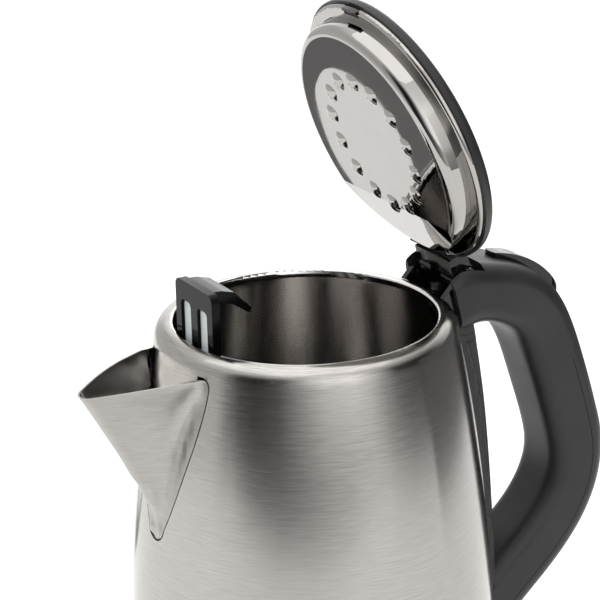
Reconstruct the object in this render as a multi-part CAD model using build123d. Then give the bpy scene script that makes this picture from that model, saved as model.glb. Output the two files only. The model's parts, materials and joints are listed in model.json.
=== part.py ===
from build123d import *
import os
from math import asin, atan2, cos, degrees, hypot, pi, radians, sin, sqrt

os.makedirs("parts", exist_ok=True)

# Heights above the table
rim_height = 200.0
seat_height = 14.0
shell_foot = 30.0
floor_height = 43.0

# Steel jug
wall = 0.8
mouth_radius = 50.0
lip_depth = 3.2
lip_turn = 1.2
rim_roll = 6.5
belly_radius = 71.0
belly_height = 52.0

# Spout
spout_reach = 37.8
spout_tip_drop = 12.2
spout_root_drop = 7.4
spout_arch_drop = 9.2
spout_keel_foot = 67.0
spout_nose = 5.5
spout_nose_turn = 33.0
spout_foot_turn = 20.0
spout_turn_top = 10.0
spout_turn_drop = 30.0
spout_side_radius = 100.0
spout_crease = 6.0
spout_keel_hollow = 0.8
flange_half_top = 22.2
flange_foot_drop = 75.8
flange_corner = 4.0
tongue_half_top = 16.6
tongue_half_foot = 13.6
tongue_drop = 20.0

# Steam vent in the back wall
vent_drop = 11.0
vent_hole = 1.05

# Lid, drawn shut and then swung open
hinge_back = 13.9
hinge_rise = 5.5
lid_open = 71.0
lid_overhang = 4.5
lid_edge_rise = 3.4
lid_crown_rise = 8.8
lid_side_rise = 5.0
lid_edge_turn = 2.8
lid_wall = 1.8
plate_drop = 7.4
plate_gap = 1.6
plate_sheet = 0.8
plate_roll = 3.6
plate_flange_rise = 0.8
band_rise = 1.2
band_inset = 1.1
clip_rise = 0.5
facet_run = 21.4
facet_rise = 5.6
dimple_ring = 26.6
dimple_count = 14
dimple_width = 8.0
dimple_height = 1.4
pin_radius = 1.6
barrel_radius = 5.4
knuckle_half = 12.2
cheek_thick = 2.6

# Handle centreline: arm run out from the hinge and drop below the rim, grip run out from the belly and
# drop below the rim, drawn for a grip_span from rim to lever pivot and stretched with that height
arm_points = [(-6.4, 3.3), (14.1, 3.8), (33.1, 14.6)]
grip_points = [(37.0, 36.0), (45.2, 62.0), (48.8, 84.0), (41.0, 105.0), (21.5, 125.0), (-2.0, 147.0)]
grip_span = 165.0
handle_halves = [(0.0, 17.8), (0.12, 17.0), (0.28, 14.6), (0.5, 14.0), (0.7, 14.3), (1.0, 15.6)]
handle_deeps = [(0.0, 12.0), (0.4, 12.6), (1.0, 12.8)]
handle_sections = 15
handle_corner = 7.0
handle_wall = 2.8
neck_height = 9.0
cover_line = 5.0
cover_first = 5

# Spine with the water gauge behind the handle
spine_half = 15.0
spine_top_drop = 17.2
spine_foot = 30.4
gauge_top_drop = 20.0
gauge_foot_drop = 150.0
gauge_sheet = 1.0
gauge_slot_half = 4.0
gauge_stand = [(15.0, 2.0), (45.0, 4.3), (67.0, 4.9), (90.0, 4.6), (120.0, 4.0), (170.0, 3.8)]
spine_stand = [(15.0, 7.2), (45.0, 7.1), (67.0, 6.5), (90.0, 6.0), (120.0, 5.8), (170.0, 5.8)]

# Lid button
button_front = 19.1
button_length = 31.6
button_half_front = 3.4
button_half_rear = 6.2
button_pivot_out = 22.1
button_pivot_rise = 3.5
button_pin = 1.1
button_pin_half = 5.4
latch_half = 3.0

# Filter
filter_lift = 30.0
filter_mouth_gap = 0.6
filter_thick = 3.4
filter_half = 14.0
filter_top_drop = 9.0
filter_foot_drop = 66.0
filter_post = 4.0
filter_bar = 5.0
tab_half = 9.5
rail_lip = 1.6
rail_thick = 2.4

# Switch lever
lever_stand = 4.8
lever_pivot_z = 35.0
lever_length = 19.2
lever_half = 9.0
lever_thick = 4.4

# Power base
base_margin = 7.0
base_top = 18.0
base_wall = 2.4
base_lift = 2.0
coupler_radius = 17.0
coupler_top = 25.0

# Clearances
seam = 0.45
fit = 0.1
running = 0.05
slide_gap = 0.35
swing_gap = 0.4

# Sizes that follow from the ones above
hinge_x = mouth_radius + hinge_back
hinge_z = rim_height + hinge_rise
lid_radius = mouth_radius + lid_overhang
plate_radius = mouth_radius - plate_gap
facet_start = plate_radius - facet_run
filter_back = sqrt((mouth_radius - filter_mouth_gap) ** 2 - filter_half ** 2)
base_radius = belly_radius + base_margin
lever_pivot_x = belly_radius + lever_stand
lever_reach = lever_pivot_x + lever_length
handle_points = [(hinge_x + out, rim_height - low) for out, low in arm_points]
grip_stretch = (rim_height - lever_pivot_z) / grip_span
handle_points += [(belly_radius + out, rim_height - low * grip_stretch) for out, low in grip_points]
flange_low = rim_height + lid_edge_rise + plate_flange_rise - plate_sheet
pivot_x = hinge_x + button_pivot_out
pivot_z = rim_height + button_pivot_rise


def save(piece, name):
    piece.label = name
    export_step(piece, f"parts/{name}.step")


def disc(radius, low, high, x=0.0, y=0.0):
    return Pos(x, y, (low + high) / 2) * Cylinder(radius, high - low)


def ring(inner, outer, low, high, x=0.0, y=0.0):
    return disc(outer, low, high, x, y) - disc(inner, low - 1, high + 1, x, y)


def block(x0, x1, y0, y1, z0, z1):
    return Pos((x0 + x1) / 2, (y0 + y1) / 2, (z0 + z1) / 2) * Box(x1 - x0, y1 - y0, z1 - z0)


def side_slab(face, y0, y1):
    return extrude(Plane.XZ.offset(-y1) * face, amount=y1 - y0)


def front_slab(face, x0, x1):
    return extrude(Plane.YZ.offset(x0) * face, amount=x1 - x0)


def plan_slab(face, z0, z1):
    return extrude(Plane.XY.offset(z0) * face, amount=z1 - z0)


def polygon(points):
    return make_face(Polyline(*points, close=True))


def spun(points):
    return revolve(Plane.XZ * polygon(points), Axis.Z)


def rod_y(x, z, radius, y0, y1):
    return Pos(x, (y0 + y1) / 2, z) * Rot(90, 0, 0) * Cylinder(radius, y1 - y0)


def rod_x(y, z, radius, x0, x1):
    return Pos((x0 + x1) / 2, y, z) * Rot(0, 90, 0) * Cylinder(radius, x1 - x0)


# Pan-head screw whose head lies on the given face, on the way side
def screw(x, y, face, way, shank, length, head, head_high):
    shaft = extrude(Pos(x, y, face) * RegularPolygon(shank, 8), amount=-way * length)
    return shaft + extrude(Pos(x, y, face) * RegularPolygon(head, 12), amount=way * head_high)


def between(table, at):
    for (a, u), (b, v) in zip(table, table[1:]):
        if at <= b:
            return u + (v - u) * (at - a) / (b - a)
    return table[-1][1]


# Flank of the jug: upright foot, one long arc, then the rolled rim
roll_top_radius = mouth_radius + lip_turn
lean = 0.0
for _ in range(40):
    shoulder_radius = roll_top_radius + rim_roll * cos(lean)
    shoulder_height = rim_height - rim_roll * (1 - sin(lean))
    rise = shoulder_height - belly_height
    drop = belly_radius - shoulder_radius
    flank_radius = (rise ** 2 + drop ** 2) / (2 * drop)
    lean = asin(rise / flank_radius)
flank_centre = belly_radius - flank_radius
spout_tip = shoulder_radius + spout_reach


def body_radius(height):
    above = max(0.0, height - belly_height)
    return flank_centre + sqrt(flank_radius ** 2 - above ** 2)


def jug_solid(grow, low):
    lift = degrees(lean)
    outline = [
        Line((0, low), (belly_radius + grow, low)),
        Line((belly_radius + grow, low), (belly_radius + grow, belly_height)),
        CenterArc((flank_centre, belly_height), flank_radius + grow, 0, lift),
        CenterArc((roll_top_radius, rim_height - rim_roll), rim_roll + grow, lift, 90 - lift),
        Line((roll_top_radius, rim_height + grow), (0, rim_height + grow)),
        Line((0, rim_height + grow), (0, low))]
    return revolve(Plane.XZ * make_face(outline), Axis.Z)


def lip_solid(inner, outer, turn):
    low = rim_height - lip_depth
    outline = [
        Line((inner, low), (outer, low)),
        Line((outer, low), (outer, rim_height - lip_turn)),
        Line((outer, rim_height - lip_turn), (roll_top_radius, rim_height - wall)),
        Line((roll_top_radius, rim_height - wall), (roll_top_radius, rim_height)),
        CenterArc((roll_top_radius, rim_height - lip_turn), turn, 90, 90),
        Line((inner, rim_height - lip_turn), (inner, low))]
    return revolve(Plane.XZ * make_face(outline), Axis.Z)


# Spout sheet, drawn as level sections from below the keel up to the mouth
def keel_reach(height):
    top = rim_height - spout_tip_drop
    foot = rim_height - spout_keel_foot
    part = (height - foot) / (top - foot)
    start = body_radius(foot)
    return start + (spout_tip - start) * part - 4 * spout_keel_hollow * part * (1 - part)


# Half outline from the nose to the flange end, as points with outward normals
def spout_outline(height, count=33, spread=27.0):
    round_body = body_radius(height)
    reach = keel_reach(height)
    turns = [(spout_turn_top, spout_nose_turn), (spout_turn_drop, spout_foot_turn)]
    turn = radians(between(turns, max(rim_height - height, spout_turn_top)))
    nose = (-(reach - spout_nose), 0.0)
    side_off = spout_side_radius - spout_nose
    side = (nose[0] + side_off * sin(turn), nose[1] - side_off * cos(turn))
    crease = spout_crease
    end = pi - asin(spread / round_body)
    path = []

    def arc(centre, radius, a, b, outward):
        steps = 160
        for k in range(steps + 1):
            t = a + (b - a) * k / steps
            path.append((centre[0] + radius * cos(t), centre[1] + radius * sin(t),
                         outward * cos(t), outward * sin(t)))

    def meet(centre, radius):
        gap = hypot(*centre)
        first = radius + crease
        second = round_body + crease
        if gap > first + second or gap < abs(first - second):
            return None
        along = (second ** 2 - first ** 2 + gap ** 2) / (2 * gap)
        off = sqrt(max(0.0, second ** 2 - along ** 2))
        ux, uy = centre[0] / gap, centre[1] / gap
        options = [(along * ux - off * uy * s, along * uy + off * ux * s) for s in (1, -1)]
        return max(options, key=lambda point: point[1])

    if reach > round_body + 0.02:
        corner = meet(side, spout_side_radius)
        angle = atan2(corner[1] - side[1], corner[0] - side[0]) if corner else 9.0
        split = pi / 2 + turn
        if corner and angle <= split:
            arc(nose, spout_nose, pi, split, 1)
            arc(side, spout_side_radius, split, angle, 1)
            owner = side
        else:
            corner = meet(nose, spout_nose)
            angle = atan2(corner[1] - nose[1], corner[0] - nose[0])
            arc(nose, spout_nose, pi, angle, 1)
            owner = nose
        start = atan2(owner[1] - corner[1], owner[0] - corner[0])
        stop = atan2(-corner[1], -corner[0])
        if start > 0:
            start -= 2 * pi
        if stop > 0:
            stop -= 2 * pi
        arc(corner, crease, start, stop, -1)
        arc((0, 0), round_body, atan2(corner[1], corner[0]), end, 1)
    else:
        arc((0, 0), round_body, pi, end, 1)
    lengths = [0.0]
    for p, q in zip(path, path[1:]):
        lengths.append(lengths[-1] + hypot(q[0] - p[0], q[1] - p[1]))
    chosen = []
    at = 0
    for k in range(count):
        want = lengths[-1] * k / (count - 1)
        while at < len(lengths) - 2 and lengths[at + 1] < want:
            at += 1
        chosen.append(path[at] if k < count - 1 else path[-1])
    return chosen


def spout_section(height):
    half = spout_outline(height)
    mirrored = [(x, -y, nx, -ny) for x, y, nx, ny in reversed(half[1:])]
    points = mirrored + half
    outer = [(x, y, height) for x, y, nx, ny in points]
    inner = [(x - wall * nx, y - wall * ny, height) for x, y, nx, ny in points]
    edges = [Spline(*outer), Line(outer[-1], inner[-1]), Spline(*reversed(inner)), Line(inner[0], outer[0])]
    return make_face(edges)


def flange_face(grow):
    top = rim_height - spout_root_drop + grow
    foot = rim_height - flange_foot_drop - grow
    rows = [(flange_half_top, spout_root_drop), (21.6, 18.7), (19.8, 29.0), (17.2, 39.0),
            (13.9, 49.7), (10.0, 60.8), (5.6, 70.6)]
    right = [(half + grow, rim_height - low) for half, low in rows]
    right[0] = (right[0][0], top)
    left = [(-y, z) for y, z in reversed(right)]
    outline = [Line(left[-1], right[0]), Spline(*right), ThreePointArc(right[-1], (0, foot), left[0]),
               Spline(*left)]
    face = make_face(outline)
    corners = face.vertices().sort_by(Axis.Y)[-2:]
    return fillet(corners, flange_corner)


def tongue_face():
    low = rim_height - tongue_drop
    return polygon([(-tongue_half_top, rim_height), (-tongue_half_top, rim_height - spout_root_drop),
                    (-tongue_half_foot, low), (tongue_half_foot, low),
                    (tongue_half_top, rim_height - spout_root_drop), (tongue_half_top, rim_height)])


section_drops = [80, 74, 69, 65.5, 62, 57, 50, 42, 33, 24, 16, 10, 6]
spout_sheet = loft([spout_section(rim_height - low) for low in section_drops])
mouth_root = (-body_radius(rim_height - spout_root_drop) - 2.0, rim_height - spout_root_drop)
mouth_tip = (-spout_tip - 2.0, rim_height - spout_tip_drop - 0.2)
mouth_arch = ((mouth_root[0] + mouth_tip[0]) / 2, rim_height - spout_arch_drop)
spout_low = rim_height - flange_foot_drop - 15
mouth_top = make_face([
    ThreePointArc(mouth_root, mouth_arch, mouth_tip),
    Polyline(mouth_tip, (mouth_tip[0], spout_low), (-mouth_radius - 2, spout_low),
             (-mouth_radius - 2, mouth_root[1]), mouth_root)])
beak_half = flange_half_top + 6
beak_face = polygon([(-beak_half, rim_height - 25), (beak_half, rim_height - 25), (beak_half, rim_height),
                     (-beak_half, rim_height)])
flange_prism = front_slab(flange_face(0.0), -spout_tip - 5, -mouth_radius + 5)
beak_prism = front_slab(beak_face, -spout_tip - 5, -body_radius(rim_height - spout_root_drop) - 1.8)
spout = spout_sheet & side_slab(mouth_top, -40, 40) & (flange_prism + beak_prism)
save(spout, "spout")

cutter_near = mouth_radius - 10
jug_outer = jug_solid(0.0, shell_foot)
jug_inner = jug_solid(-wall, shell_foot - 5)
jug_body = jug_outer - jug_inner - disc(roll_top_radius, rim_height - 20, rim_height + 5)
jug_body += lip_solid(mouth_radius, mouth_radius + wall, lip_turn)
spout_cut = front_slab(flange_face(seam), -spout_tip, -cutter_near)
spout_cut -= front_slab(tongue_face(), -spout_tip - 5, -cutter_near + 5)
jug_body -= spout_cut
vent_height = rim_height - vent_drop
vent_spots = [(0, 0), (-3.6, 0), (3.6, 0), (-1.8, 2.4), (1.8, 2.4), (-1.8, -2.4), (1.8, -2.4)]
for across, up in vent_spots:
    jug_body -= rod_x(across, vent_height + up, vent_hole, 45, 75)
gauge_ports = [rim_height - 34, rim_height - 138]
for port in gauge_ports:
    jug_body -= rod_x(0, port, 2.5, 55, 80)
save(jug_body, "jug_body")

# Heated floor and the works under it
shell_bore = belly_radius - wall
flange_bore = shell_bore - running - 0.85
element_plate = disc(shell_bore - running, floor_height - 9, floor_height)
element_plate -= disc(flange_bore, floor_height - 10, floor_height - 1)
save(element_plate, "element_plate")
spreader_low = floor_height - 4.05
save(disc(54, spreader_low, floor_height - 1.05), "heat_spreader")
rod_deep = 6.4
rod_half = 3.6
element_bend = 44.0
element_top = spreader_low - running
element_low = element_top - rod_deep
rod_face = polygon([(element_bend - rod_half, element_top), (element_bend + rod_half, element_top),
                    (element_bend + rod_half - 1.6, element_low), (element_bend - rod_half + 1.6, element_low)])
heating_element = Rot(0, 0, 25) * revolve(Plane.XZ * rod_face, Axis.Z, 310)
for spin in (28.0, 332.0):
    x, y = element_bend * cos(radians(spin)), element_bend * sin(radians(spin))
    heating_element += block(x - 1.2, x + 1.2, y - 1.2, y + 1.2, element_low - 5, element_low + 1)
save(heating_element, "heating_element")

collar_bore = belly_radius - 4.4
ledge_bore = collar_bore - 2.6
cover_low = seat_height + 3.6
collar_spigot = flange_bore - fit
foot_collar = spun([(belly_radius - 1.4, seat_height), (belly_radius, seat_height + 1.4),
                    (belly_radius, shell_foot - 0.4), (collar_spigot, shell_foot - 0.4),
                    (collar_spigot, shell_foot + 8), (collar_bore, shell_foot + 8),
                    (collar_bore, cover_low - fit), (ledge_bore, cover_low - fit), (ledge_bore, seat_height)])
save(foot_collar, "foot_collar")
save(ring(collar_bore + 0.2, collar_spigot, shell_foot + 8 + running, floor_height - 1 - running), "floor_seal")
socket_radius = coupler_radius + 0.7
bottom_cover = ring(socket_radius + 0.7, collar_bore - fit, cover_low, cover_low + 1.8)
screw_ring = ledge_bore - 6
bottom_screws = []
for k in range(3):
    spin = radians(60 + 120 * k)
    x, y = screw_ring * cos(spin), screw_ring * sin(spin)
    bottom_cover -= block(x - 1.7, x + 1.7, y - 1.7, y + 1.7, cover_low - 1, cover_low + 3)
    bottom_screws.append(screw(x, y, cover_low - 0.05, -1, 1.5, 9, 3.2, 1.9))
save(bottom_cover, "bottom_cover")
save(Compound(bottom_screws), "bottom_screws")
control_low = cover_low + 1.9
contact_top = coupler_top + 1.4
contacts_low = seat_height + 5.0
control_unit = disc(30, control_low, element_low - 0.3)
control_unit -= disc(socket_radius, control_low - 1, contact_top)
save(control_unit, "control_unit")
socket_contacts = [block(-1.3, 1.3, -1.3, 1.3, contacts_low, contact_top - running)]
for side in (-1, 1):
    socket_contacts.append(block(side * 9 - 0.4, side * 9 + 0.4, -2, 2, contacts_low, contact_top - running))
save(Compound(socket_contacts), "socket_contacts")

# Power base
base_floor_high = base_lift + 2.2
base_shell = spun([(base_radius, base_lift), (base_radius, 7), (base_radius - 0.6, 11), (base_radius - 2, 15.4),
                   (base_radius - 3.2, base_top - 0.6), (base_radius - 4.2, base_top),
                   (base_radius - 5.2, base_top - 0.2), (belly_radius + 1.6, seat_height), (0, seat_height),
                   (0, base_lift)])
base_shell -= spun([(base_radius - base_wall, base_lift - 1), (base_radius - base_wall, 7),
                    (base_radius - base_wall - 1.6, 12), (base_radius - base_wall - 3, seat_height - base_wall),
                    (0, seat_height - base_wall), (0, base_lift - 1)])
hub_radius = coupler_radius + 4
base_shell -= disc(hub_radius, 5, 20)
outlet_z = 7.6
base_shell -= rod_x(0, outlet_z, 3.4, base_radius - 12, base_radius + 5)
save(base_shell, "base_shell")
base_floor = disc(base_radius - base_wall - fit, base_lift, base_floor_high)
base_screws = []
base_post = base_radius - 32
base_screw_long = seat_height - base_wall - base_lift - 0.5
for k in range(3):
    spin = radians(30 + 120 * k)
    x, y = base_post * cos(spin), base_post * sin(spin)
    base_floor -= block(x - 1.7, x + 1.7, y - 1.7, y + 1.7, 0, 6)
    base_screws.append(screw(x, y, base_lift - 0.05, -1, 1.5, base_screw_long, 3.2, 1.4))
save(base_floor, "base_floor")
save(Compound(base_screws), "base_screws")
save(ring(base_radius - 20, base_radius - 8, 0, base_lift - running), "foot_ring")
base_coupler = disc(hub_radius - fit, base_floor_high + running, seat_height - 0.2)
base_coupler += disc(coupler_radius, seat_height - 0.2, coupler_top)
base_coupler = chamfer(base_coupler.edges().group_by(Axis.Z)[-1], 1.2)
base_coupler -= disc(2.5, seat_height - 1, 40) + ring(7.9, 10.1, seat_height - 1, 40)
save(base_coupler, "base_coupler")
contact_low = seat_height - 1 + running
base_contacts = [block(-1.5, 1.5, -1.5, 1.5, contact_low, contact_low + 2)]
for side in (-1, 1):
    base_contacts.append(block(side * 9 - 0.8, side * 9 + 0.8, -2, 2, contact_low, contact_low + 2))
save(Compound(base_contacts), "base_contacts")

# Spine: channel against the jug, clear gauge sheet, outer bezel
spine_top = rim_height - spine_top_drop
jug_clear = jug_solid(fit, 0)


def layer(inner_table, inner_off, outer_table, outer_off, low, high, half):
    steps = [low + (high - low) * k / 12 for k in range(13)]
    outside = [(body_radius(z) + between(outer_table, rim_height - z) + outer_off, z) for z in steps]
    if inner_table is None:
        inside = [(belly_radius - 25, high), (belly_radius - 25, low)]
        edges = [Spline(*outside), Polyline(outside[-1], *inside, outside[0])]
    else:
        inside = [(body_radius(z) + between(inner_table, rim_height - z) + inner_off, z)
                  for z in reversed(steps)]
        edges = [Spline(*outside), Line(outside[-1], inside[0]), Spline(*inside), Line(inside[-1], outside[0])]
    return side_slab(make_face(edges), -half, half)


gauge_top = rim_height - gauge_top_drop
gauge_foot = rim_height - gauge_foot_drop
slot_top = gauge_top - 10
slot_foot = gauge_foot + 8
slot_near = mouth_radius
slot_far = belly_radius + 19
slot = block(slot_near, slot_far, -gauge_slot_half, gauge_slot_half, slot_foot, slot_top)
slot = fillet(slot.edges().filter_by(Axis.X), gauge_slot_half - 0.2)
pocket_x = belly_radius + 1.2
lever_bay = block(pocket_x, slot_far, -lever_half - 0.5, lever_half + 0.5, spine_foot - 1, lever_pivot_z + 5.4)
spine_base = layer(None, 0, gauge_stand, 0, gauge_foot, gauge_top, spine_half)
spine_base += layer(None, 0, spine_stand, 0, spine_foot, gauge_foot, spine_half)
spine_base += layer(None, 0, spine_stand, 0, gauge_top, spine_top, spine_half)
spine_base -= jug_clear
spine_base -= slot
spine_base -= lever_bay
lever_pin = 1.5
spine_base -= rod_y(lever_pivot_x, lever_pivot_z, lever_pin + running, -lever_half - 4.5, lever_half + 4.5)
save(spine_base, "spine_base")
sheet_low = gauge_foot + fit
sheet_high = gauge_top - fit
gauge_window = layer(gauge_stand, running, gauge_stand, gauge_sheet, sheet_low, sheet_high, spine_half)
save(gauge_window - lever_bay, "gauge_window")
spine_cover = layer(gauge_stand, gauge_sheet + running, spine_stand, 0, sheet_low, sheet_high, spine_half)
spine_cover -= slot + lever_bay
save(spine_cover, "spine_cover")
seal_half = gauge_slot_half - running
seal_wall = 1.25
gauge_seal = block(slot_near, slot_far, -seal_half, seal_half, slot_foot + running, slot_top - running)
gauge_seal = fillet(gauge_seal.edges().filter_by(Axis.X), gauge_slot_half - 0.3)
seal_bore = block(slot_near - 5, slot_far + 5, -seal_half + seal_wall, seal_half - seal_wall,
                  slot_foot + running + seal_wall, slot_top - running - seal_wall)
gauge_seal -= fillet(seal_bore.edges().filter_by(Axis.X), gauge_slot_half - 1.6)
gauge_seal &= layer(None, 0, gauge_stand, -running, gauge_foot, gauge_top, spine_half)
gauge_seal -= jug_clear + lever_bay
save(gauge_seal, "gauge_seal")

# Handle: hollow moulding with a rear cover along its outer side
handle_line = Spline(*handle_points)
handle_shares = [k / (handle_sections - 1) for k in range(handle_sections)]
stations = [(handle_line.position_at(share).X, handle_line.position_at(share).Y) for share in handle_shares]
headings = [(handle_line.tangent_at(share).X, handle_line.tangent_at(share).Y) for share in handle_shares]


def handle_solid(shrink, first, last):
    sections = []
    for k in range(first, last):
        half = between(handle_halves, handle_shares[k]) - shrink
        deep = between(handle_deeps, handle_shares[k]) - shrink
        plane = Plane(origin=(stations[k][0], 0, stations[k][1]), x_dir=(0, 1, 0),
                      z_dir=(headings[k][0], 0, headings[k][1]))
        sections.append(plane * RectangleRounded(2 * half, 2 * deep, handle_corner - shrink))
    return loft(sections)


def cover_region(off):
    inner = [(x - dz * off, z + dx * off) for (x, z), (dx, dz) in list(zip(stations, headings))[cover_first:]]
    (x, z), (dx, dz) = stations[cover_first], headings[cover_first]
    far = [(stations[-1][0], 20.0), (170.0, 20.0), (170.0, z + 40), (x - dz * 40, z + dx * 40)]
    edges = [Spline(*inner), Polyline(inner[-1], *far, inner[0])]
    return side_slab(make_face(edges), -40, 40)


def largest(piece):
    return max(piece.solids(), key=lambda solid: solid.volume)


def from_hinge(points):
    return [(hinge_x + out, rim_height + up) for out, up in points]


pocket_half = knuckle_half + 0.4 + cheek_thick + 0.4
pocket_low = rim_height - 6.4
pocket_rear = hinge_x + barrel_radius + 1.7
duct_half = 5.5
duct_low = vent_height - 3.8
duct_high = vent_height + 3.8

# Lid button: a blade let into the top of the handle, thin in front and thick behind
button_rear = button_front + button_length
button_top = from_hinge([(button_front, 9.0), (button_front + 9, 7.0), (button_front + 18.5, 2.4),
                         (button_rear - 5.1, -5.2), (button_rear, -13.4)])
button_under = from_hinge([(button_rear - 2.8, -16.6), (button_rear - 9.1, -8.8), (button_front + 15, -2.0),
                           (button_front + 7, 2.6), (button_front + 0.2, 5.2)])
seat_under = from_hinge([(button_rear - 0.6, -21.0), (button_rear - 10, -12.4), (button_front + 14.2, -5.2),
                         (button_front + 6.4, 0.4), (button_front - 0.5, 3.8)])


def button_plan(grow):
    front = hinge_x + button_front + 1.0 - grow
    rear = hinge_x + button_rear + grow
    half_front = button_half_front + grow
    half_rear = button_half_rear + grow
    middle = rear - half_rear
    outline = [Line((front, -half_front), (middle, -half_rear)),
               ThreePointArc((middle, -half_rear), (rear, 0), (middle, half_rear)),
               Line((middle, half_rear), (front, half_front)),
               ThreePointArc((front, half_front), (front - 0.7, 0), (front, -half_front))]
    return plan_slab(make_face(outline), rim_height - 40, rim_height + 40)


button_side = make_face([Spline(*button_top), Line(button_top[-1], button_under[0]), Spline(*button_under),
                         Line(button_under[-1], button_top[0])])
lid_button = side_slab(button_side, -20, 20) & button_plan(0.0)
lid_button += rod_y(pivot_x, pivot_z, button_pin, -button_pin_half, button_pin_half)
lid_button += block(pivot_x - 0.8, pivot_x + 0.8, -button_half_front, button_half_front, pivot_z, pivot_z + 2)
save(lid_button, "lid_button")
seat_far = hinge_x + button_rear + 20
seat_side = make_face([Spline(*seat_under), Polyline(seat_under[-1], (seat_under[-1][0], rim_height + 30),
                                                     (seat_far, rim_height + 30), (seat_far, seat_under[0][1]),
                                                     seat_under[0])])
button_seat = side_slab(seat_side, -20, 20) & button_plan(swing_gap)
button_bore = rod_y(pivot_x, pivot_z, button_pin + running, -button_pin_half - fit, button_pin_half + fit)

# Latch that the button draws back from the lid knuckle
nose_tip = hinge_x + barrel_radius - 1.6
latch_low = rim_height - 4.0
latch_body = block(pocket_rear + 4, pocket_rear + 17, -latch_half, latch_half, latch_low, rim_height + 0.6)
latch_body += block(pocket_rear + 4, pocket_rear + 6.4, -latch_half, latch_half, latch_low, hinge_z + 1)
latch_body += block(nose_tip, pocket_rear + 6.4, -latch_half, latch_half, hinge_z - 1, hinge_z + 1)
save(latch_body, "lid_latch")
latch_bay = block(pocket_rear - 2, pocket_rear + 20, -latch_half - slide_gap, latch_half + slide_gap,
                  latch_low - slide_gap, hinge_z + 1 + slide_gap)

handle = handle_solid(0.0, 0, handle_sections)
handle += layer(None, 0, spine_stand, 0, spine_top + fit, spine_top + neck_height, spine_half)
cavity = handle_solid(handle_wall, 2, handle_sections - 1)
spine_clear = layer(None, 0, spine_stand, fit, spine_foot, spine_top + fit, spine_half + fit)
steam_duct = block(55, stations[2][0] + 2, -duct_half, duct_half, duct_low, duct_high)
handle_skin = handle - cavity - jug_solid(0.25, 0) - spine_clear
hinge_pocket = block(40, pocket_rear, -pocket_half, pocket_half, pocket_low, rim_height + 30)
handle_grip = handle_skin - cover_region(cover_line) - hinge_pocket - button_seat - button_bore
handle_grip -= latch_bay + steam_duct
handle_grip = largest(handle_grip)
handle_cover = largest(handle_skin & cover_region(cover_line + 0.2))

# Hinge bracket between the arm walls, standing on the rim
cheek_front = from_hinge([(-11.5, -0.4), (-4.7, 6.8)])
cheek_radius = 4.6
cheek_back = pocket_rear - 0.3
bracket_low = pocket_low + fit
cheek_side = polygon([cheek_front[0], cheek_front[1], (hinge_x - 1, hinge_z + cheek_radius - 0.1),
                      (hinge_x + 1, hinge_z + cheek_radius - 0.1), (cheek_back, hinge_z),
                      (cheek_back, bracket_low), (cheek_front[0][0], bracket_low)])
hinge_bracket = block(cheek_front[0][0] + 4, cheek_back, -pocket_half + 0.4, pocket_half - 0.4,
                      bracket_low, bracket_low + 2.6)
screw_x = hinge_x + 1.0
screw_y = 8.5
for side in (-1, 1):
    edge = side * (pocket_half - 0.4)
    cheek = side_slab(cheek_side, min(edge, edge - side * cheek_thick), max(edge, edge - side * cheek_thick))
    snap = block(hinge_x - 8.5, hinge_x - 5.5, edge - 4, edge + 4, rim_height + 0.2, rim_height + 2.6)
    snap += block(hinge_x - 6.9, hinge_x - 5.5, edge - 4, edge + 4, rim_height + 0.2, rim_height + 4.0)
    hinge_bracket += cheek - snap
    hinge_bracket -= block(screw_x - 1.7, screw_x + 1.7, side * screw_y - 1.7, side * screw_y + 1.7,
                           bracket_low - 1, bracket_low + 4)
    handle_grip -= block(screw_x - 1.6, screw_x + 1.6, side * screw_y - 1.6, side * screw_y + 1.6,
                         bracket_low - 9, bracket_low + 1)
hinge_bracket -= jug_solid(0.2, 0)
hinge_bracket -= rod_y(hinge_x, hinge_z, pin_radius + running, -40, 40)
save(largest(hinge_bracket), "hinge_bracket")
bracket_screws = [screw(screw_x, side * screw_y, bracket_low + 2.65, 1, 1.5, 11, 3.0, 1.6) for side in (-1, 1)]
save(Compound(bracket_screws), "bracket_screws")
save(rod_y(hinge_x, hinge_z, pin_radius, -pocket_half + 0.5, pocket_half - 0.5), "hinge_pin")
save(largest(handle_grip), "handle_grip")
save(handle_cover, "handle_cover")

# Steam tube from the vent chamber down the inside of the handle
tube_line = [(hinge_x - 2, vent_height), (hinge_x + 18, vent_height - 0.6), (hinge_x + 28, vent_height - 3.4)]
tube_line += [(x - 2, z - 2.5) for x, z in stations[4:-2]]
tube_path = Polyline(*[(x, 0, z) for x, z in tube_line])
tube_ring = Plane(tube_path @ 0, z_dir=tube_path % 0) * (Circle(2.6) - Circle(1.8))
save(sweep(tube_ring, path=tube_path, transition=Transition.RIGHT), "steam_tube")


# Lid pieces are drawn shut, then swung about the hinge pin
def swing(piece):
    return piece.rotate(Axis((hinge_x, 0, hinge_z), (0, 1, 0)), lid_open)


def cover_solid(inset):
    radius = lid_radius - inset
    low = rim_height + lid_edge_rise - inset
    turn = lid_edge_turn - inset
    side_top = rim_height + lid_side_rise
    crown = rim_height + lid_crown_rise - inset
    rise = crown - side_top - turn
    dome = ((radius - turn) ** 2 + rise ** 2) / (2 * rise)
    spread = degrees(asin((radius - turn) / dome))
    outline = [Line((0, low), (radius, low)), Line((radius, low), (radius, side_top)),
               CenterArc((radius - turn, side_top), turn, 0, 90),
               CenterArc((0, crown - dome), dome, 90 - spread, spread),
               Line((0, crown), (0, low))]
    return revolve(Plane.XZ * make_face(outline), Axis.Z)


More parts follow.
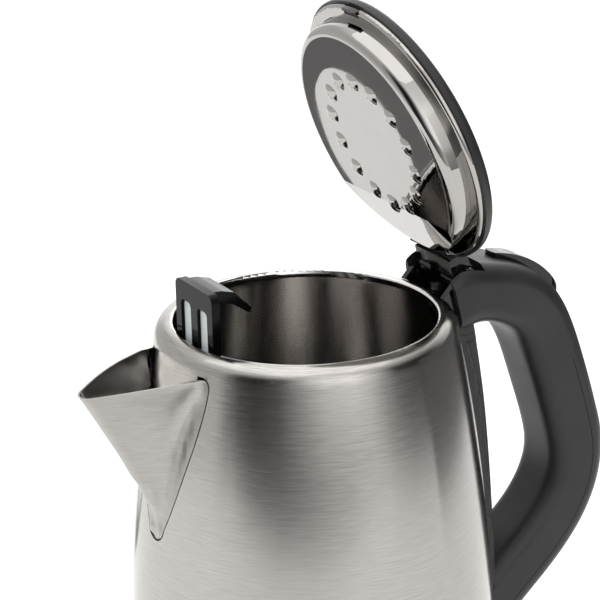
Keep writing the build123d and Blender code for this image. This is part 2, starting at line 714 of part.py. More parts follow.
block_side = polygon(from_hinge([(-18.4, 4.6), (-9.4, 4.6), (-9.4, 1.3), (-3.4, 0.9), (0, hinge_rise - 4),
                                 (0, hinge_rise + 4), (-2.9, 9.6), (-9.0, 9.3), (-11.9, 7.0), (-18.4, 7.0)]))
wing_gap = 0.9
wing_root = hinge_x - 13.9
wing_side = polygon([(wing_root, rim_height + 1.3), (cheek_front[0][0] + 1.6 - wing_gap, rim_height + 1.3),
                     (cheek_front[1][0] - wing_gap - 1.4, cheek_front[1][1] - 1.6),
                     (wing_root, cheek_front[1][1] - 1.6)])
wings = side_slab(wing_side, -pocket_half + 0.8, pocket_half - 0.8)
wings -= disc(lid_radius + fit, rim_height - 5, rim_height + 30)
hinge_block = side_slab(block_side, -knuckle_half, knuckle_half) + wings
hinge_block += rod_y(hinge_x, hinge_z, barrel_radius, -knuckle_half, knuckle_half)
latch_slot = rod_y(hinge_x, hinge_z, barrel_radius + 3, -latch_half - 0.6, latch_half + 0.6)
latch_slot -= rod_y(hinge_x, hinge_z, barrel_radius - 2.1, -20, 20)
latch_slot -= block(hinge_x - 24, hinge_x - 4, -20, 20, rim_height - 50, rim_height + 50)
hinge_block -= latch_slot
hinge_block -= rod_y(hinge_x, hinge_z, pin_radius + running, -40, 40)
save(swing(largest(hinge_block)), "lid_hinge_block")

block_room = side_slab(offset(block_side, fit), -knuckle_half - fit, knuckle_half + fit)
lid_cover = cover_solid(0.0) - cover_solid(lid_wall)
lid_cover -= block_room
save(swing(largest(lid_cover)), "lid_cover")


def plate_cup(inset):
    low = rim_height - plate_drop + inset
    radius = plate_radius - inset
    cup = disc(radius, low, flange_low + plate_sheet)
    cup = fillet(cup.edges().group_by(Axis.Z)[0], plate_roll - inset)
    slope = facet_rise / (plate_radius - facet_start)
    lift = inset * sqrt(1 + slope ** 2)
    base = rim_height - plate_drop + lift
    cut = polygon([(facet_start - 30, base - 30 * slope), (80, base + (80 - facet_start) * slope),
                   (80, rim_height - 40), (facet_start - 30, rim_height - 40)])
    return cup - side_slab(cut, -70, 70)


lid_plate = plate_cup(0.0)
cap_radius = ((dimple_width / 2) ** 2 + dimple_height ** 2) / (2 * dimple_height)
cap_centre = rim_height - plate_drop - dimple_height + cap_radius
dimple_spots = [(dimple_ring * cos(2 * pi * k / dimple_count), dimple_ring * sin(2 * pi * k / dimple_count))
                for k in range(dimple_count)]
lid_plate -= plate_cup(plate_sheet)
lid_plate -= disc(plate_radius - plate_sheet, rim_height + 1, rim_height + 12)
lid_plate += ring(plate_radius - plate_sheet, lid_radius - lid_wall - fit, flange_low, flange_low + plate_sheet)
for x, y in dimple_spots:
    cap = Pos(x, y, cap_centre) * Sphere(cap_radius)
    lid_plate += cap & disc(dimple_width, rim_height - plate_drop - 5, rim_height - plate_drop + 0.2, x, y)
save(swing(largest(lid_plate)), "lid_plate")

band_high = rim_height + lid_edge_rise - running
front_notch = 5.0
band_low = rim_height + band_rise
lid_band = ring(plate_radius + running, lid_radius - band_inset, band_low, band_high)
lid_band = fillet(lid_band.edges().group_by(Axis.Z)[0].sort_by(SortBy.LENGTH)[-1], 1.4)
lid_band -= block(40, 70, -knuckle_half - 0.6, knuckle_half + 0.6, band_low - 5, band_high + 5)
clip_inner = plate_radius + 2.2
notch = block(-70, -40, -front_notch - fit, front_notch + fit, band_low - 5, band_high + 5)
lid_band -= notch - disc(clip_inner - fit, band_low - 6, band_high + 6)
save(swing(lid_band), "lid_band")
clip_low = rim_height + clip_rise
clip = ring(clip_inner, lid_radius - band_inset, clip_low, band_high)
clip &= block(-70, -40, -front_notch, front_notch, clip_low - 5, band_high + 5)
clip -= disc(lid_radius - band_inset - 1.2, clip_low - 1, clip_low + 1.0)
save(swing(clip), "lid_clip")

# Filter, drawn seated and then lifted
filter_front = filter_back - filter_thick
filter_top = rim_height - filter_top_drop
filter_foot = rim_height - filter_foot_drop
pane_low = filter_foot + 5
pane_high = filter_top - 7.5
frame = block(-filter_back, -filter_front, -filter_half, filter_half, filter_foot, filter_top)
frame = fillet(frame.edges().filter_by(Axis.X).group_by(Axis.Z)[-1], 3.0)
for side in (-1, 1):
    near = side * filter_bar / 2
    far = side * (filter_half - filter_post)
    pane = block(-60, -40, min(near, far), max(near, far), pane_low, pane_high)
    frame -= fillet(pane.edges().filter_by(Axis.X), 2.0)
mesh_deep = 0.5
net_half = filter_half - 2
frame -= block(-filter_front - mesh_deep, -filter_front + 1, -net_half, net_half, pane_low - 2, pane_high + 2)
tab_points = [(-0.5, 0.0), (3.5, -0.3), (8.6, -1.8), (15.8, -9.4), (14.4, -11.0), (8.0, -6.4), (3.5, -4.6),
              (-0.5, -4.4)]
tab_side = polygon([(out - filter_front, filter_top + up) for out, up in tab_points])
tab = side_slab(tab_side, -tab_half, tab_half)
frame += tab
raise_filter = Pos(0, 0, filter_lift)
save(raise_filter * frame, "filter_frame")
mesh = block(-filter_front - mesh_deep + running, -filter_front - running, -net_half + fit, net_half - fit,
             pane_low - 2 + fit, pane_high + 2 - fit)
save(raise_filter * mesh, "filter_mesh")
rail_in = filter_half + slide_gap
rail_out = rail_in + rail_thick
rail_low = filter_foot - 3.5
rail_high = rim_height - 14
rail_face = -filter_front + slide_gap + rail_lip
rails = block(-belly_radius, rail_face, -rail_out, rail_out, rail_low, filter_foot - slide_gap)
for side in (-1, 1):
    inner = side * rail_in
    outer = side * rail_out
    lip = side * (filter_half - rail_lip)
    rails += block(-belly_radius, rail_face, min(inner, outer), max(inner, outer), rail_low, rail_high)
    for start in (rail_face - rail_lip, -filter_back - slide_gap - rail_lip):
        rails += block(start, start + rail_lip, min(lip, outer), max(lip, outer), rail_low, rail_high)
rails &= jug_solid(-wall - 0.15, 0)
save(largest(rails), "filter_rails")

# Switch lever under the foot of the handle
lever_side = polygon([(lever_pivot_x - 1.8, lever_pivot_z - 2.0), (86.0, lever_pivot_z - 2.4),
                      (lever_reach - 1.5, lever_pivot_z - 1.6), (lever_reach, lever_pivot_z + 0.4),
                      (lever_reach - 2, lever_pivot_z + 1.8), (84.0, lever_pivot_z + 2.2),
                      (lever_pivot_x - 1.8, lever_pivot_z + 2.2)])
switch_lever = side_slab(lever_side, -lever_half, lever_half)
switch_lever += rod_y(lever_pivot_x, lever_pivot_z, 2.7, -lever_half, lever_half)
switch_lever += rod_y(lever_pivot_x, lever_pivot_z, lever_pin, -lever_half - 4, lever_half + 4)
save(switch_lever, "switch_lever")
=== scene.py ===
import json
import math

import bmesh
import bpy
from mathutils import Matrix, Vector


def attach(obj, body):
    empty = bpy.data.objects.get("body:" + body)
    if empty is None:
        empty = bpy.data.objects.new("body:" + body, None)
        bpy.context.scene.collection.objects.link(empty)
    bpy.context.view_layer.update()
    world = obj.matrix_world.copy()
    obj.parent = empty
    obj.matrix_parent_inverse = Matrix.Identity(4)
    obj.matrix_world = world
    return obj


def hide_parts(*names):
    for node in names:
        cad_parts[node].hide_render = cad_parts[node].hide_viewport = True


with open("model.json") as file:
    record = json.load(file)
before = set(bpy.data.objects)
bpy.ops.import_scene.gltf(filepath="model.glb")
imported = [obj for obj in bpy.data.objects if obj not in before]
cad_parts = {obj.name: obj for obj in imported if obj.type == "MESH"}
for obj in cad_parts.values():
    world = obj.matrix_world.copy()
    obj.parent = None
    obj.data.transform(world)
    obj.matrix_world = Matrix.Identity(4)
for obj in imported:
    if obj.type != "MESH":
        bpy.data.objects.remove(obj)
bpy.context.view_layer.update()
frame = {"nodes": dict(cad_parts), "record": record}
nodes = frame["nodes"]
record = frame["record"]
scene = bpy.context.scene
scene.view_settings.view_transform = "Standard"
mm = 0.001
print("frame loaded:", len(nodes), "nodes")


def hexToLinear(code):
    parts = [int(code[k:k + 2], 16) / 255 for k in (0, 2, 4)]
    return [c / 12.92 if c <= 0.04045 else ((c + 0.055) / 1.055) ** 2.4 for c in parts] + [1.0]


def addNode(tree, kind, settings=None, links=None):
    node = tree.nodes.new(kind)
    for key, value in (settings or {}).items():
        if isinstance(key, str) and hasattr(node, key):
            setattr(node, key, value)
        else:
            node.inputs[key].default_value = value
    for key, source in (links or {}).items():
        tree.links.new(source, node.inputs[key])
    return node


def startMaterial(name, sockets):
    material = bpy.data.materials.new(name)
    material.use_nodes = True
    tree = material.node_tree
    shader = tree.nodes["Principled BSDF"]
    for key, value in sockets.items():
        shader.inputs[key].default_value = value
    coords = addNode(tree, "ShaderNodeTexCoord").outputs["Object"]
    return material, tree, shader, coords


noise = {"roughness": 0.55, "span": (0.3, 0.7)}  # most of its values lie in the span
wholeSpan = (0.0, 1.0)


def stretchedNoise(tree, coords, sizes, detail):  # sizes in mm along X, Y and Z
    scale = [1 / (size * mm) for size in sizes]
    mapped = addNode(tree, "ShaderNodeMapping", {"Scale": scale}, {"Vector": coords})
    pattern = addNode(tree, "ShaderNodeTexNoise",
                      {"Scale": 1.0, "Detail": detail, "Roughness": noise["roughness"]},
                      {"Vector": mapped.outputs["Vector"]})
    return pattern.outputs["Fac"]


def dress(tree, shader, look, tone=None, gloss=None, height=None):  # patterns for colour, roughness, bump
    if tone is not None:
        low, high = look.get("toneSpan", noise["span"])
        share = addNode(tree, "ShaderNodeMapRange", {"From Min": low, "From Max": high}, {"Value": tone})
        tones = {"data_type": "RGBA", 6: hexToLinear(look["dark"]), 7: hexToLinear(look["light"])}
        colour = addNode(tree, "ShaderNodeMix", tones, {"Factor": share.outputs["Result"]})
        tree.links.new(colour.outputs[2], shader.inputs["Base Color"])
    if gloss is not None:
        low, high = look.get("glossSpan", noise["span"])
        ends = {"From Min": low, "From Max": high, "To Min": look["smooth"], "To Max": look["rough"]}
        rough = addNode(tree, "ShaderNodeMapRange", ends, {"Value": gloss})
        tree.links.new(rough.outputs["Result"], shader.inputs["Roughness"])
    if height is not None:
        relief = {"Strength": look["bump"], "Distance": look["depth"] * mm}
        bump = addNode(tree, "ShaderNodeBump", relief, {"Height": height})
        tree.links.new(bump.outputs["Normal"], shader.inputs["Normal"])


steel = {"dark": "9B9894", "light": "B0ADA9", "jugGloss": (0.165, 0.205), "beakGloss": (0.30, 0.36),
         "streakLong": 8.0, "streakPitch": 0.2,  # mm; the real grit is finer
         "broadLong": 22.0, "broadPitch": 0.6, "depth": 0.02,  # mm
         "bump": 0.04, "streakShare": 0.7, "glossSpan": (0.55, 1.15), "anisotropic": 0.7, "upright": 0.25}


def makeBrushedStainless(name, gloss):  # 304 stainless ground round the jug: upright highlights
    material, tree, shader, coords = startMaterial(name, {
        "Metallic": 1.0, "Anisotropic": steel["anisotropic"], "Anisotropic Rotation": steel["upright"]})
    fineSizes = (steel["streakLong"], steel["streakLong"], steel["streakPitch"])
    broadSizes = (steel["broadLong"], steel["broadLong"], steel["broadPitch"])
    streaks = stretchedNoise(tree, coords, fineSizes, detail=4.0)
    broad = stretchedNoise(tree, coords, broadSizes, detail=2.0)
    both = addNode(tree, "ShaderNodeMath", {"operation": "MULTIPLY_ADD", 1: steel["streakShare"]},
                   {0: streaks, 2: broad})
    look = dict(steel, smooth=gloss[0], rough=gloss[1])
    dress(tree, shader, look, tone=streaks, gloss=both.outputs[0], height=streaks)
    tangent = addNode(tree, "ShaderNodeTangent", {"direction_type": "RADIAL", "axis": "Z"})
    tree.links.new(tangent.outputs["Tangent"], shader.inputs["Tangent"])
    return material


# painted light: the inside steel gets a much lighter colour than the outside, standing in for light in the
# dim jug
paintedLightLining = {"dark": "DEDCDA", "light": "E6E4E2", "smooth": 0.09, "rough": 0.13,
          "drawPitch": 2.4, "drawLong": 90.0}  # mm


def makeDrawnSteelPaintedLight():  # the jug's inside after drawing: smoother, with faint upright draw marks, and far lighter than the outside steel as painted light for the dim inside
    material, tree, shader, coords = startMaterial("drawnStainlessPaintedLight", {"Metallic": 1.0})
    sizes = (paintedLightLining["drawPitch"], paintedLightLining["drawPitch"], paintedLightLining["drawLong"])
    marks = stretchedNoise(tree, coords, sizes, detail=3.0)
    dress(tree, shader, paintedLightLining, tone=marks, gloss=marks)
    return material


mirror = {"dark": "A19E9B", "light": "A9A6A3", "toneSpan": wholeSpan, "smooth": 0.01, "rough": 0.03,
          "smudge": 9.0, "wave": 26.0, "bump": 0.02, "depth": 1.2}  # mm


def makePolishedStainless():  # buffed sheet: a mirror, slightly wavy from pressing, with faint smudges
    material, tree, shader, coords = startMaterial("polishedStainless", {"Metallic": 1.0})
    smudge = stretchedNoise(tree, coords, (mirror["smudge"],) * 3, detail=4.0)
    wave = stretchedNoise(tree, coords, (mirror["wave"],) * 3, detail=1.0)
    dress(tree, shader, mirror, tone=smudge, gloss=smudge, height=wave)
    return material


satin = {"name": "satinPolypropylene", "dark": "1F1F1F", "light": "262626", "smooth": 0.34, "rough": 0.44,
         "grain": 0.5, "bump": 0.14, "ior": 1.37}  # spark-eroded mould: a soft broad sheen
glossy = {"name": "glossAbs", "dark": "070808", "light": "0B0C0C", "smooth": 0.06, "rough": 0.12,
          "grain": 6.0, "bump": 0.04, "ior": 1.46}  # polished mould: wet highlights
filterGlossyPaintedShade = {"name": "glossAbsFilterPaintedShade", "dark": "050505", "light": "080808", "smooth": 0.08, "rough": 0.14,
                "grain": 6.0, "bump": 0.04, "ior": 1.2}  # the same with painted shade: darker colour and weaker reflection for the shade in the mouth
inner = {"name": "filledNylon", "dark": "1B1C1D", "light": "242526", "smooth": 0.5, "rough": 0.62,
         "grain": 0.6, "bump": 0.2, "ior": 1.53}  # glass-filled: dull and grainy
silicone = {"name": "siliconeRubber", "dark": "1C1C1C", "light": "262626", "smooth": 0.7, "rough": 0.85,
            "grain": 0.8, "bump": 0.25, "ior": 1.41}  # moulded rubber: dull and soft
aluminium = {"name": "castAluminium", "dark": "A8A9AB", "light": "BEBFC1", "smooth": 0.38, "rough": 0.5,
             "grain": 0.7, "bump": 0.3, "metal": 1.0}  # grainy as cast
brass = {"name": "contactBrass", "dark": "B8934A", "light": "D0AC62", "smooth": 0.22, "rough": 0.34,
         "grain": 1.0, "bump": 0.1, "metal": 1.0}  # pressed strip: yellow and fairly smooth
zinc = {"name": "zincPlatedSteel", "dark": "A9ABAE", "light": "C2C4C6", "smooth": 0.28, "rough": 0.4,
        "grain": 0.8, "bump": 0.12, "metal": 1.0}  # plated screws: bright, a little milky
moulding = {"cloud": 14.0, "depth": 0.05, "metal": 0.0, "ior": 1.5}  # mm; what the looks above share


def makeMoulded(look):  # a fine grain under cloudy changes of colour and gloss
    whole = {**moulding, **look}
    sockets = {"Metallic": whole["metal"], "IOR": whole["ior"]}
    material, tree, shader, coords = startMaterial(whole["name"], sockets)
    grain = stretchedNoise(tree, coords, (whole["grain"],) * 3, detail=2.0)
    cloudy = stretchedNoise(tree, coords, (whole["cloud"],) * 3, detail=3.0)
    dress(tree, shader, whole, tone=cloudy, gloss=cloudy, height=grain)
    return material


clear = {"tint": "E6ECEE", "ior": 1.49, "roughness": 0.04,
         "ripple": 3.0, "bump": 0.05, "depth": 0.1}  # mm


def makeClearAcrylic():  # clear moulded sheet: glassy, faintly uneven
    material, tree, shader, coords = startMaterial("clearAcrylic", {
        "Base Color": hexToLinear(clear["tint"]), "Transmission Weight": 1.0,
        "IOR": clear["ior"], "Roughness": clear["roughness"]})
    dress(tree, shader, clear, height=stretchedNoise(tree, coords, (clear["ripple"],) * 3, detail=2.0))
    return material


net = {"dark": "A4A8AA", "light": "DADEDF", "toneSpan": wholeSpan, "roughness": 0.55, "ior": 1.53,
       "thread": 0.8, "depth": 0.2, "outward": 1.6,  # mm; the real net is finer
       "bandSpan": 0.314, "bump": 0.5}


def makeNylonNet():  # fine woven nylon: pale threads both ways over small dark gaps; the paleness is partly the nylon's own colour and partly painted light for the light that comes through the net
    sockets = {"Roughness": net["roughness"], "IOR": net["ior"]}
    material, tree, shader, coords = startMaterial("wovenNylon", sockets)
    scale = net["bandSpan"] / (net["thread"] * mm)  # a wave at scale 1 has its bands one bandSpan apart
    waves = []
    for way in ("Y", "Z"):
        bands = {"bands_direction": way, "Scale": scale}
        wave = addNode(tree, "ShaderNodeTexWave", bands, {"Vector": coords})
        waves.append(wave.outputs["Fac"])
    weave = addNode(tree, "ShaderNodeMath", {"operation": "MAXIMUM"}, {0: waves[0], 1: waves[1]}).outputs[0]
    dress(tree, shader, net, tone=weave, height=weave)
    return material


brushed = makeBrushedStainless("brushedStainless304", steel["jugGloss"])
beakSteel = makeBrushedStainless("brushedStainlessBeak", steel["beakGloss"])
drawnSteelPaintedLight = makeDrawnSteelPaintedLight()
# painted shade: the filter frame gets a darker, less reflective copy of the gloss plastic
filterAbsPaintedShade = makeMoulded(filterGlossyPaintedShade)
finishes = {"brushed_steel": brushed, "polished_steel": makePolishedStainless(),
            "satin_plastic": makeMoulded(satin), "gloss_plastic": makeMoulded(glossy),
            "inner_plastic": makeMoulded(inner), "filter_net": makeNylonNet(),
            "clear_plastic": makeClearAcrylic(), "rubber": makeMoulded(silicone),
            "cast_aluminium": makeMoulded(aluminium), "contact_brass": makeMoulded(brass),
            "zinc_steel": makeMoulded(zinc)}
slotOf = {part["node"]: part["material_slot"] for part in record["subparts"]}
bodyOf = {name: body for body, names in record["behaviour"]["bodies"].items() for name in names}
for name, node in nodes.items():
    node.data.materials.clear()
    node.data.materials.append(finishes[slotOf[name]])
print("finishes ready:", len(finishes))

surface = {"weld": 0.002, "square": 0.004,  # mm, radians
           "coplanar": 0.05, "sharp": 32.0, "segments": 2}  # degrees


def refine(nodeName, pieceName, sharp=surface["sharp"], bevel=0.0, materials=None, pick=None, level=None):
    bm = bmesh.new()
    bm.from_mesh(nodes[nodeName].data)
    bmesh.ops.remove_doubles(bm, verts=bm.verts, dist=surface["weld"] * mm)
    if bevel:  # in mm
        even = math.radians(surface["coplanar"])
        bmesh.ops.dissolve_limit(bm, angle_limit=even, verts=bm.verts, edges=bm.edges)
        bmesh.ops.triangulate(bm, faces=[face for face in bm.faces if len(face.verts) > 4])
    for face in bm.faces:
        face.smooth = True
        face.material_index = pick(face) if pick else 0
    bm.normal_update()
    for edge in bm.edges:  # the flat of a mirror, square to level, keeps one normal
        flats = [level is not None and face.normal.angle(level, 1.0) < surface["square"]
                 for face in edge.link_faces]
        joined = len(flats) == 2 and flats[0] == flats[1]
        edge.smooth = joined and edge.calc_face_angle() < math.radians(sharp)
    mesh = bpy.data.meshes.new(pieceName)
    bm.to_mesh(mesh)
    bm.free()
    for material in materials or [finishes[slotOf[nodeName]]]:
        mesh.materials.append(material)
    piece = bpy.data.objects.new(pieceName, mesh)
    scene.collection.objects.link(piece)
    if bevel:
        soft = piece.modifiers.new("softEdges", "BEVEL")
        soft.width = bevel * mm
        soft.segments = surface["segments"]
        soft.limit_method = "ANGLE"
        soft.angle_limit = math.radians(sharp)
        soft.harden_normals = True
    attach(piece, bodyOf[nodeName])
    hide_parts(nodeName)
    return piece


sheet = {"sharp": 30.0, "inward": -0.2}  # degrees, and the outward lean under which a face is inside


def insideJug(face):
    centre = face.calc_center_median()
    outward = face.normal.x * centre.x + face.normal.y * centre.y
    return 1 if outward < sheet["inward"] * centre.xy.length else 0


def insideSpout(face):
    centre = face.calc_center_median()
    across = face.normal.y * math.copysign(1.0, centre.y)
    return 1 if across < face.normal.x else 0


refine("jug_body", "jugShell", sheet["sharp"], materials=[brushed, drawnSteelPaintedLight], pick=insideJug)
refine("spout", "beakSpout", sheet["sharp"], materials=[beakSteel, drawnSteelPaintedLight], pick=insideSpout)

plate = {"sharp": 18.0}  # degrees
lidHinge = next(joint for joint in record["behaviour"]["joints"] if joint["name"] == "lid_hinge")
opened = math.radians(-lidHinge["range_deg"][0])
plateFacing = Vector((-math.sin(opened), 0, -math.cos(opened)))
plateUpward = Vector((-math.cos(opened), 0, math.sin(opened)))
refine("lid_plate", "lidMirror", plate["sharp"], level=plateFacing)
refine("lid_cover", "lidShell")

filterEdge = 0.3  # mm
refine("filter_frame", "filterFrameDressed", bevel=filterEdge, materials=[filterAbsPaintedShade])
netPanes = refine("filter_mesh", "filterNet")
for vertex in netPanes.data.vertices:  # the net is moulded into the middle of its frame
    vertex.co.x -= net["outward"] * mm

softened = {"handle_grip": 0.5, "handle_cover": 0.5, "lid_button": 0.9, "lid_band": 0.2, "spine_cover": 0.3,
            "spine_base": 0.3, "base_shell": 0.4, "foot_collar": 0.3, "switch_lever": 0.4}  # widths in mm
for nodeName, width in softened.items():
    first, *rest = nodeName.split("_")
    pieceName = first + "".join(word.title() for word in rest) + "Dressed"
    refine(nodeName, pieceName, bevel=width)
print("pieces refined")

# Studio: camera at the photographed view, soft boxes in the world, four lamps, pale floor and two cloths
view = {"azimuth": -30.0, "elevation": 20.818, "roll": -1.415, "focalPixels": 2650.2, "framePixels": 600,
        "axisPixel": (305.6, 314.4), "aim": (0.0, 0.0, 0.2), "distance": 1.0, "sensor": 36.0,
        "nearest": 0.05}


def placeCamera():
    turn, tilt, roll = (math.radians(view[key]) for key in ("azimuth", "elevation", "roll"))
    back = Vector((math.sin(turn) * math.cos(tilt), -math.cos(turn) * math.cos(tilt), math.sin(tilt)))
    level = Vector((math.cos(turn), math.sin(turn), 0.0))
    upright = back.cross(level)
    right = level * math.cos(roll) + upright * math.sin(roll)
    up = upright * math.cos(roll) - level * math.sin(roll)
    eye = Vector(view["aim"]) + back * view["distance"]
    lens = bpy.data.cameras.new("studioCamera")
    lens.sensor_width = view["sensor"]
    lens.lens = view["focalPixels"] * view["sensor"] / view["framePixels"]
    lens.shift_x = 0.5 - view["axisPixel"][0] / view["framePixels"]
    lens.shift_y = view["axisPixel"][1] / view["framePixels"] - 0.5
    lens.clip_start = view["nearest"]
    camera = bpy.data.objects.new("studioCamera", lens)
    rows = [(right[k], up[k], back[k], eye[k]) for k in range(3)]
    camera.matrix_world = Matrix(rows + [(0, 0, 0, 1)])
    scene.collection.objects.link(camera)
    scene.camera = camera
    return back, level


backWay, levelWay = placeCamera()
frontWay = Vector((backWay.x, backWay.y, 0)).normalized()

studio = {"low": [(-180, 1.0), (-150, 0.70), (-110, 0.95), (-67, 0.90), (-58, 0.30), (-49, 0.03),
                  (-40, 0.02), (-24, 0.10), (-8, 0.21), (8, 0.36), (24, 0.58), (45, 0.90), (58, 0.45),
                  (77, 0.15), (100, 0.06), (129, 0.10), (150, 0.35), (180, 1.0)],
          "high": [(-180, 2.0), (-155, 0.80), (-110, 0.85), (-67, 0.70), (-52, 0.06), (-36, 0.01),
                   (-20, 0.14), (-4, 0.90), (12, 1.80), (34, 2.10), (52, 1.00), (68, 0.08), (96, 0.02),
                   (118, 0.20), (140, 1.00), (160, 1.60), (180, 2.0)],
          "turnFrom": -0.12, "turnFull": 0.04, "overhead": 1.3, "overheadFrom": 0.4, "overheadFull": 0.9}


def lightWorld():  # rows: degrees round from the camera's side, brightness of the soft boxes there
    world = bpy.data.worlds.new("studioWorld")
    scene.world = world
    world.use_nodes = True
    tree = world.node_tree
    tree.nodes.clear()
    ray = addNode(tree, "ShaderNodeTexCoord").outputs["Generated"]
    parts = []
    for way in (levelWay, frontWay):
        dot = addNode(tree, "ShaderNodeVectorMath", {"operation": "DOT_PRODUCT", 1: way}, {0: ray})
        parts.append(dot.outputs["Value"])
    angle = addNode(tree, "ShaderNodeMath", {"operation": "ARCTAN2"}, {0: parts[0], 1: parts[1]}).outputs[0]
    wholeTurn = {"From Min": -math.pi, "From Max": math.pi}
    place = addNode(tree, "ShaderNodeMapRange", wholeTurn, {"Value": angle})
    rows = []
    for row in ("low", "high"):
        ramp = addNode(tree, "ShaderNodeValToRGB", None, {"Fac": place.outputs["Result"]})
        stops = ramp.color_ramp.elements
        for degree, level in studio[row][1:-1]:
            stops.new((degree + 180) / 360).color = (level, level, level, 1)
        for end in (0, -1):
            level = studio[row][end][1]
            stops[end].color = (level, level, level, 1)
        rows.append(ramp.outputs["Color"])
    height = addNode(tree, "ShaderNodeSeparateXYZ", None, {"Vector": ray}).outputs["Z"]
    steps = []
    for start, full in (("turnFrom", "turnFull"), ("overheadFrom", "overheadFull")):
        ends = {"interpolation_type": "SMOOTHSTEP", "From Min": studio[start], "From Max": studio[full]}
        steps.append(addNode(tree, "ShaderNodeMapRange", ends, {"Value": height}).outputs["Result"])
    walls = addNode(tree, "ShaderNodeMix", {"data_type": "RGBA"}, {0: steps[0], 6: rows[0], 7: rows[1]})
    top = studio["overhead"]
    sky = addNode(tree, "ShaderNodeMix", {"data_type": "RGBA", 7: (top, top, top, 1)},
                  {0: steps[1], 6: walls.outputs[2]})
    boxes = addNode(tree, "ShaderNodeBackground", {"Strength": 1.0}, {"Color": sky.outputs[2]})
    addNode(tree, "ShaderNodeOutputWorld", None, {"Surface": boxes.outputs[0]})


lightWorld()

lampAim = Vector((0, 0, 0.18))
lamps = [
    {"name": "leftSoftbox", "at": (-1.2, 0.3, 0.8), "size": 1.3, "power": 8.0, "mirrored": False},
    {"name": "topSoftbox", "at": (0.0, 0.1, 1.5), "size": 1.7, "power": 7.0, "mirrored": True},
    {"name": "frontSoftbox", "at": (0.36, -1.15, 0.75), "size": 1.4, "power": 5.0, "mirrored": False},
    {"name": "rearSoftbox", "at": (1.0, 0.6, 1.1), "size": 1.0, "power": 3.0, "mirrored": False}]
for lamp in lamps:
    light = bpy.data.lights.new(lamp["name"], "AREA")
    light.size = lamp["size"]
    light.energy = lamp["power"]
    holder = bpy.data.objects.new(lamp["name"], light)
    holder.location = lamp["at"]
    holder.rotation_euler = (lampAim - holder.location).to_track_quat("-Z", "Y").to_euler()
    holder.visible_glossy = lamp["mirrored"]  # where it is off, metal shows the world's soft boxes alone
    scene.collection.objects.link(holder)

floor = {"near": 0.6, "far": 4.0, "half": 0.75,  # metres
         "drop": 0.2, "patch": 300.0,  # mm
         "dark": "ECECEC", "light": "F2F2F2", "toneSpan": wholeSpan, "roughness": 0.9, "specular": 0.1,
         "glow": 0.05}


def layFloor():  # matt paint, lifted a little where it is seen or mirrored
    bm = bmesh.new()
    corners = [frontWay * along + levelWay * aside for along, aside in (
        (floor["near"], -floor["half"]), (floor["near"], floor["half"]),
        (-floor["far"], floor["half"]), (-floor["far"], -floor["half"]))]
    bm.faces.new([bm.verts.new(corner + Vector((0, 0, -floor["drop"] * mm))) for corner in corners])
    mesh = bpy.data.meshes.new("paleFloor")
    bm.to_mesh(mesh)
    bm.free()
    ground = bpy.data.objects.new("paleFloor", mesh)
    scene.collection.objects.link(ground)
    material, tree, shader, coords = startMaterial("paleFloorPaint", {
        "Roughness": floor["roughness"], "Specular IOR Level": floor["specular"]})
    dress(tree, shader, floor, tone=stretchedNoise(tree, coords, (floor["patch"],) * 3, detail=3.0))
    path = addNode(tree, "ShaderNodeLightPath").outputs
    seen = path["Is Camera Ray"]
    for kind in ("Is Glossy Ray", "Is Transmission Ray"):
        seen = addNode(tree, "ShaderNodeMath", {"operation": "MAXIMUM"}, {0: seen, 1: path[kind]}).outputs[0]
    glow = addNode(tree, "ShaderNodeMath", {"operation": "MULTIPLY", 1: floor["glow"]}, {0: seen})
    shader.inputs["Emission Color"].default_value = (1, 1, 1, 1)
    tree.links.new(glow.outputs[0], shader.inputs["Emission Strength"])
    mesh.materials.append(material)


layFloor()

cloth = {"weave": 8.0, "toneSpan": wholeSpan}  # mm


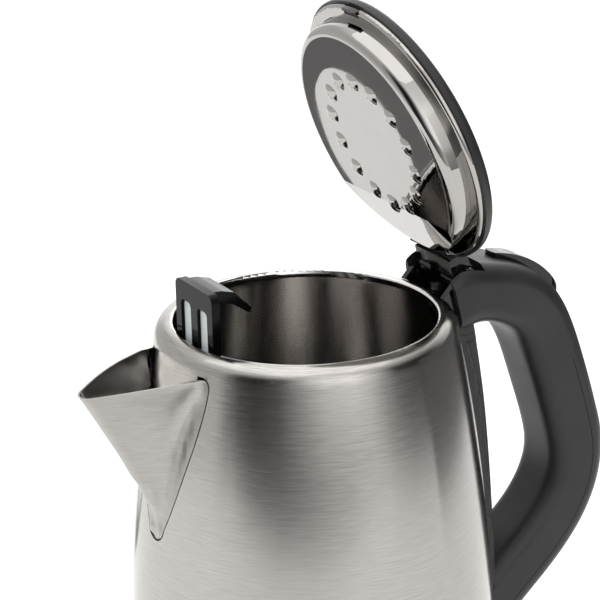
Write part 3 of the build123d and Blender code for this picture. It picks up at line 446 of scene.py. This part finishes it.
def hangCloth(name, bm, look):  # dull molton that only mirrors show
    mesh = bpy.data.meshes.new(name)
    bm.to_mesh(mesh)
    bm.free()
    sockets = {"Roughness": 1.0, "Specular IOR Level": 0.0}
    material, tree, shader, coords = startMaterial(name + "Cloth", sockets)
    weave = stretchedNoise(tree, coords, (cloth["weave"],) * 3, detail=3.0)
    dress(tree, shader, {**cloth, **look}, tone=weave)
    mesh.materials.append(material)
    hung = bpy.data.objects.new(name, mesh)
    scene.collection.objects.link(hung)
    hung.visible_camera = False
    hung.visible_diffuse = False
    hung.visible_shadow = False


flag = {"dark": "6A6A6B", "light": "707071", "opening": 33.0, "aside": 4.0, "down": 6.0, "lift": 2.0,  # mm
        "reach": 1.7, "steps": 48}


def standFlag():  # grey cloth with a round opening, laid where the lid's mirror shows it round its border
    spots = [vertex.co for vertex in nodes["lid_plate"].data.vertices]
    middle = sum(spots, Vector()) / len(spots)
    centre = middle + Vector((0, flag["aside"] * mm, 0)) - plateUpward * flag["down"] * mm
    eye = scene.camera.matrix_world.translation
    hits = []
    for k in range(flag["steps"]):
        turn = 2 * math.pi * k / flag["steps"]
        way = Vector((0, math.cos(turn), 0)) + plateUpward * math.sin(turn)
        spot = centre + way * flag["opening"] * mm
        ray = (spot - eye).normalized().reflect(plateFacing)
        hits.append(spot + ray * ((flag["lift"] * mm - spot.z) / ray.z))
    heart = sum(hits, Vector()) / len(hits)
    bm = bmesh.new()
    inside = [bm.verts.new(hit) for hit in hits]
    outside = [bm.verts.new(heart + (hit - heart) * flag["reach"]) for hit in hits]
    for k in range(len(hits)):
        after = (k + 1) % len(hits)
        bm.faces.new((inside[k], inside[after], outside[after], outside[k]))
    hangCloth("greyFlag", bm, flag)


standFlag()

curtain = {"dark": "5E5E5F", "light": "666667", "from": 88, "to": 158,  # degrees from the camera's side
           "away": 0.56, "top": 0.32, "steps": 8}  # metres


def hangCurtain():  # dark cloth on the handle side that shades the jug's right flank
    bm = bmesh.new()
    rows = []
    for k in range(curtain["steps"] + 1):
        turn = math.radians(curtain["from"] + (curtain["to"] - curtain["from"]) * k / curtain["steps"])
        foot = (frontWay * math.cos(turn) + levelWay * math.sin(turn)) * curtain["away"]
        rows.append((bm.verts.new(foot), bm.verts.new(foot + Vector((0, 0, curtain["top"])))))
    for (lowA, highA), (lowB, highB) in zip(rows, rows[1:]):
        bm.faces.new((lowA, lowB, highB, highA))
    hangCloth("blackCurtain", bm, curtain)


hangCurtain()
print("studio ready")
